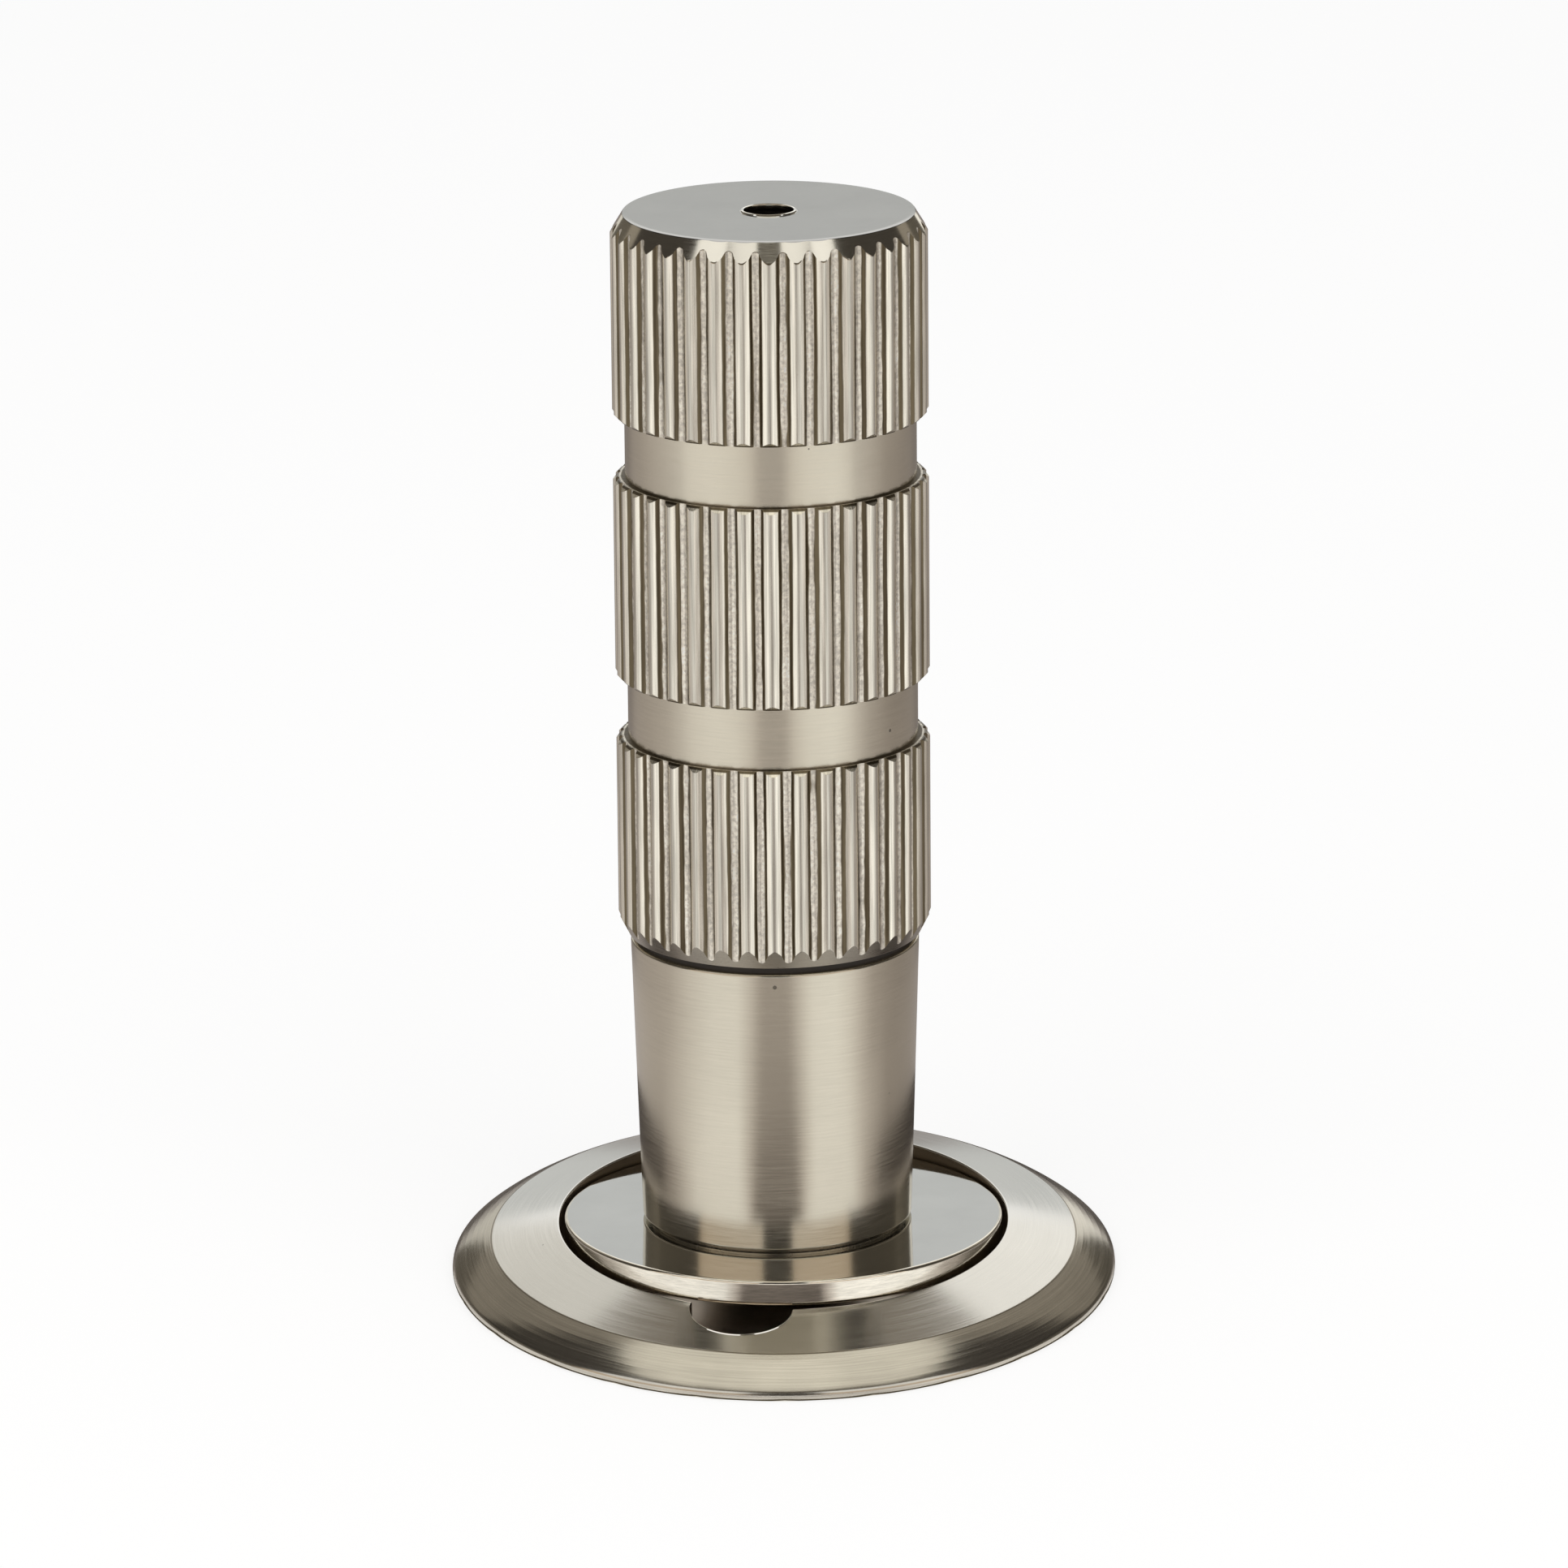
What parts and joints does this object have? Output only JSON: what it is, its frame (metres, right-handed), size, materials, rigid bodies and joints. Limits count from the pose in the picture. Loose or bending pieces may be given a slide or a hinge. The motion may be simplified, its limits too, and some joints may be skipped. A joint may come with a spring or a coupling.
{
  "type": "magnetic door stop",
  "caption": "Magnetic door stop: a fluted metal wall post with a magnet in its tapered nose, standing on the tilting strike disc of its bevelled door catch.",
  "frame": {"origin": "middle of the catch ring's flat underside, on the surface that it is screwed to", "axes": "+Z out of the door face through the catch, -Y the side with the pry notch, to which the disc rises; the post leans back towards +Y at rest"},
  "size_m": [0.045, 0.045, 0.0737],
  "materials": {
    "ring_satin_nickel": "satin, brushed round the axis",
    "nose_satin_nickel": "satin, brushed round the axis",
    "sleeve_satin_nickel": "satin, brushed round the axis",
    "polished_steel": "polished",
    "cup_nickel": "plated",
    "magnet_nickel": "plated",
    "plain_steel": "zinc plated",
    "spring_brass": "plain",
    "white_nylon": "matte",
    "dark_fibre": "matte"
  },
  "bodies": {
    "catch": {"catch_base": "ring_satin_nickel", "ball_stud": "plain_steel"},
    "liner": {"socket_liner": "white_nylon"},
    "strike": {"strike_disc": "polished_steel", "socket_ring": "spring_brass"},
    "post": {"pole_cup": "cup_nickel", "magnet_spacer": "spring_brass", "magnet": "magnet_nickel", "magnet_screw": "plain_steel", "tapered_nose": "nose_satin_nickel", "joint_washer": "dark_fibre", "joining_stud": "plain_steel", "knurled_sleeve": "sleeve_satin_nickel"}
  },
  "joints": [
    {"name": "strike_tip", "type": "hinge", "parent": "catch", "child": "liner", "pos_m": [0, 0, 0.00165], "axis": [1, 0, 0], "range_deg": [0, 11]},
    {"name": "strike_sway", "type": "hinge", "parent": "liner", "child": "strike", "pos_m": [0, 0, 0.00165], "axis": [0, 0.9954, -0.0958], "range_deg": [-2, 2]},
    {"name": "post_pull_off", "type": "slide", "parent": "strike", "child": "post", "axis": [0, 0.0958, 0.9954], "range_m": [0, 0.025]}
  ]
}
